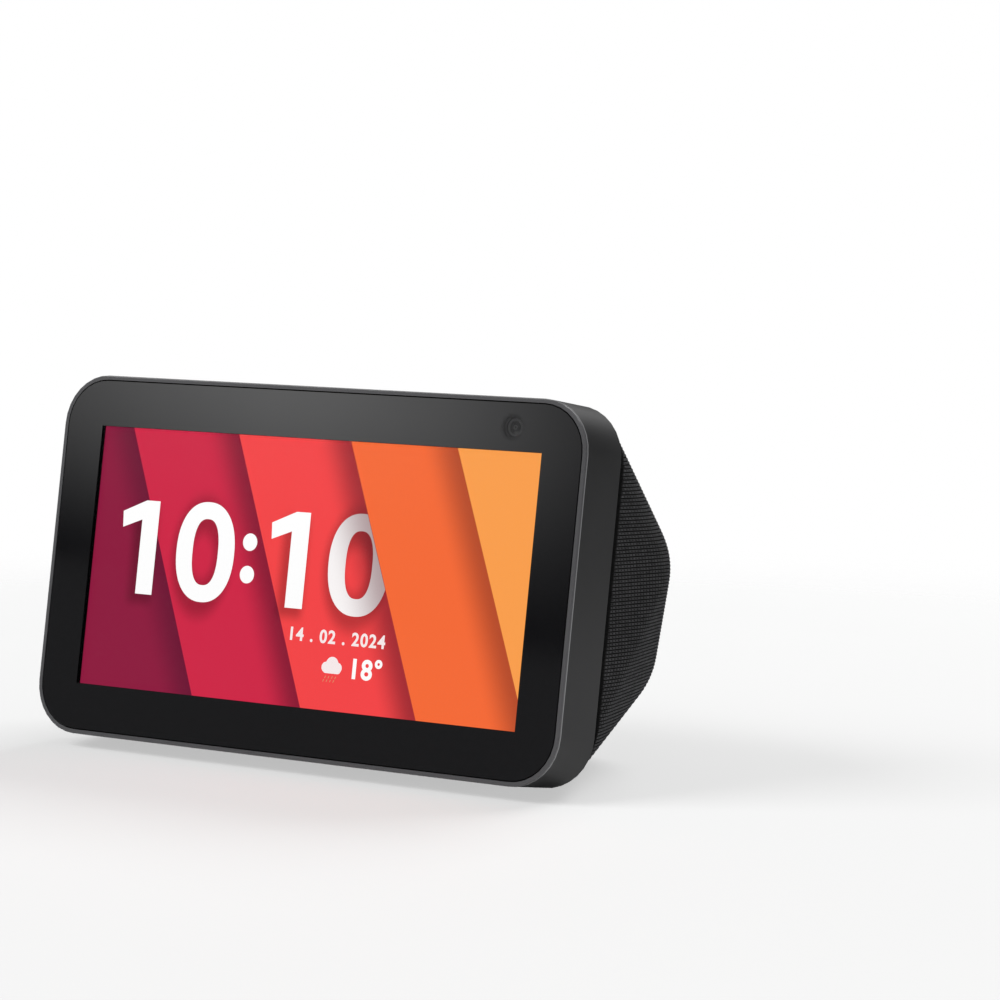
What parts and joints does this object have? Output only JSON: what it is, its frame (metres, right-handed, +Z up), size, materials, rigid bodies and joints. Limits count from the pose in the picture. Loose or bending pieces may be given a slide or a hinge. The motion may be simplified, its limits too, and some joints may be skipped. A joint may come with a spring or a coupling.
{
  "type": "smart display",
  "caption": "Small wedge-shaped smart display: glass front in a plastic band, tapered fabric back, top buttons, sliding camera shutter and a rear-facing speaker.",
  "frame": {"origin": "centre of the rubber foot's resting face, on the surface the display stands on", "axes": "+Z up, -Y out of the screen, +X to the right as seen by someone facing the screen"},
  "size_m": [0.148, 0.0736, 0.0885],
  "materials": {
    "glass": "polished cover glass with a dark printed border",
    "screen": "lit display panel",
    "band_plastic": "fine satin moulded plastic",
    "button_plastic": "fine satin moulded plastic",
    "inner_plastic": "matte moulded plastic",
    "fabric": "open knitted mesh",
    "rubber": "matte",
    "steel": "plated",
    "magnet": "nickel plated",
    "board": "solder resist",
    "paper": "pressed fibre",
    "copper": "enamelled wire",
    "flex": "polyimide film",
    "lens": "coated lens",
    "red_wire": "wire insulation",
    "black_wire": "wire insulation"
  },
  "bodies": {
    "chassis": {"cover_glass": "glass", "display_panel": "screen", "front_frame": "band_plastic", "port_trim": "band_plastic", "camera_module": "inner_plastic", "shutter_guide": "inner_plastic", "mid_chassis": "inner_plastic", "display_connector": "inner_plastic", "speaker_enclosure": "inner_plastic", "rear_housing": "inner_plastic", "base_plate": "inner_plastic", "dc_jack": "inner_plastic", "fabric_cover": "fabric", "glass_adhesive": "rubber", "speaker_gasket": "rubber", "speaker_surround": "rubber", "rubber_foot": "rubber", "backlight_tray": "steel", "volume_up_switch": "steel", "volume_down_switch": "steel", "mic_camera_off_switch": "steel", "microphone_left": "steel", "microphone_right": "steel", "shield_can": "steel", "heat_spreader": "steel", "speaker_basket": "steel", "speaker_top_plate": "steel", "speaker_yoke": "steel", "usb_port": "steel", "chassis_screw_1": "steel", "chassis_screw_2": "steel", "chassis_screw_3": "steel", "chassis_screw_4": "steel", "board_screw_1": "steel", "board_screw_2": "steel", "base_screw_1": "steel", "base_screw_2": "steel", "base_screw_3": "steel", "base_screw_4": "steel", "speaker_magnet": "magnet", "base_magnet_left": "magnet", "base_magnet_right": "magnet", "button_board": "board", "main_board": "board", "antenna_board": "board", "speaker_spider": "paper", "display_cable": "flex", "camera_cable": "flex", "button_cable": "flex", "camera_lens": "lens", "speaker_wire_red": "red_wire", "speaker_wire_black": "black_wire"},
    "volume_up": {"volume_up_button": "button_plastic"},
    "volume_down": {"volume_down_button": "button_plastic"},
    "mic_camera_off": {"mic_camera_off_button": "button_plastic"},
    "camera_shutter": {"shutter_knob": "button_plastic", "shutter_blade": "button_plastic"},
    "speaker_diaphragm": {"speaker_cone": "paper", "speaker_dust_cap": "paper", "voice_coil": "copper"}
  },
  "joints": [
    {"name": "volume_up_press", "type": "slide", "parent": "chassis", "child": "volume_up", "axis": [0, -0.1685, -0.9857], "range_m": [0, 0.0004], "stiffness_N_per_m": 600},
    {"name": "volume_down_press", "type": "slide", "parent": "chassis", "child": "volume_down", "axis": [0, -0.1685, -0.9857], "range_m": [0, 0.0004], "stiffness_N_per_m": 600},
    {"name": "mic_camera_off_press", "type": "slide", "parent": "chassis", "child": "mic_camera_off", "axis": [0, -0.1685, -0.9857], "range_m": [0, 0.0004], "stiffness_N_per_m": 600},
    {"name": "camera_shutter_slide", "type": "slide", "parent": "chassis", "child": "camera_shutter", "axis": [1, 0, 0], "range_m": [0, 0.0075]},
    {"name": "speaker_diaphragm_move", "type": "slide", "parent": "chassis", "child": "speaker_diaphragm", "axis": [0, 0.9857, -0.1685], "range_m": [-0.0008, 0.0008], "stiffness_N_per_m": 1500}
  ]
}
